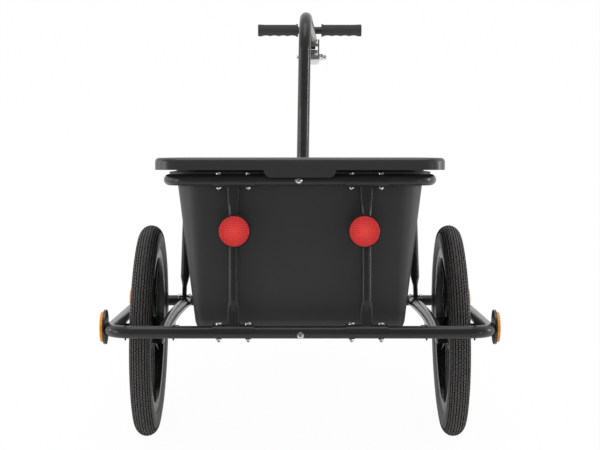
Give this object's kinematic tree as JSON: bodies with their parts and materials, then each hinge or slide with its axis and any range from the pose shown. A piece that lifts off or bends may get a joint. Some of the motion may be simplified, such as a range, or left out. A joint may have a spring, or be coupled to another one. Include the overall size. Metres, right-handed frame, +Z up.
{
  "type": "bicycle cargo trailer",
  "caption": "Bicycle trailer with a lidded plastic tub in a tube frame, side wheels and a swan-neck drawbar ending in a handle and hitch.",
  "frame": {"origin": "on the ground under the middle of the trailer's overall length and width, as it stands parked", "axes": "+Y forward along the drawbar, +X to the trailer's right, +Z up from the ground"},
  "size_m": [0.7096, 1.6498, 0.6406],
  "materials": {
    "frame": "gloss black enamel on steel tube",
    "drawbar": "satin black enamel on steel tube",
    "zinc": "bright zinc plate",
    "tub": "moulded black plastic with a fine grain",
    "wheel": "gloss black moulding",
    "tyre": "matte rubber with small tread blocks",
    "grip": "soft matte grip",
    "red_lens": "red prismatic lens",
    "amber_lens": "amber prismatic lens",
    "reflector_base": "black reflector housing"
  },
  "bodies": {
    "chassis": {"lower_loop_right": "frame", "lower_loop_left": "frame", "upper_ring_right": "frame", "upper_ring_left": "frame", "inner_rail_right": "frame", "inner_rail_left": "frame", "inner_axle_plate_right": "frame", "inner_axle_plate_left": "frame", "outer_axle_plate_right": "frame", "outer_axle_plate_left": "frame", "axle_right": "zinc", "axle_left": "zinc", "rear_stay_right": "frame", "rear_stay_left": "frame", "front_stay_right": "frame", "front_stay_left": "frame", "side_stay_right": "frame", "side_stay_left": "frame", "tub": "tub", "drawbar": "drawbar", "drawbar_cradle": "drawbar", "drawbar_clamp": "drawbar", "handle_bar": "drawbar", "grip_right": "grip", "grip_left": "grip", "hitch_ears": "zinc", "hitch_bolt": "zinc", "red_reflector_base_right": "reflector_base", "red_reflector_lens_right": "red_lens", "red_reflector_base_left": "reflector_base", "red_reflector_lens_left": "red_lens", "rear_amber_base_right": "reflector_base", "rear_amber_base_left": "reflector_base", "rear_amber_lens_right": "amber_lens", "rear_amber_lens_left": "amber_lens", "front_amber_base_right": "reflector_base", "front_amber_base_left": "reflector_base", "front_amber_lens_right": "amber_lens", "front_amber_lens_left": "amber_lens"},
    "wheel_left": {"wheel_left": "wheel", "tyre_left": "tyre"},
    "wheel_right": {"wheel_right": "wheel", "tyre_right": "tyre"},
    "lid": {"lid": "tub"},
    "hitch_yoke": {"hitch_yoke": "zinc"}
  },
  "joints": [
    {"name": "wheel_left_spin", "type": "hinge", "parent": "chassis", "child": "wheel_left", "pos_m": [-0.288, -0.54545, 0.2005], "axis": [0.9999, -0.0041, -0.0124], "continuous": true},
    {"name": "wheel_right_spin", "type": "hinge", "parent": "chassis", "child": "wheel_right", "pos_m": [0.288, -0.54545, 0.2005], "axis": [0.9999, 0.0041, 0.0124], "continuous": true},
    {"name": "lid_lift", "type": "slide", "parent": "chassis", "child": "lid", "axis": [0, 0.3112, 0.9504], "range_m": [0, 0.15]},
    {"name": "yoke_pitch", "type": "hinge", "parent": "chassis", "child": "hitch_yoke", "pos_m": [0.033, 0.77487, 0.399], "axis": [1, 0, 0], "range_deg": [-60, 25]}
  ]
}
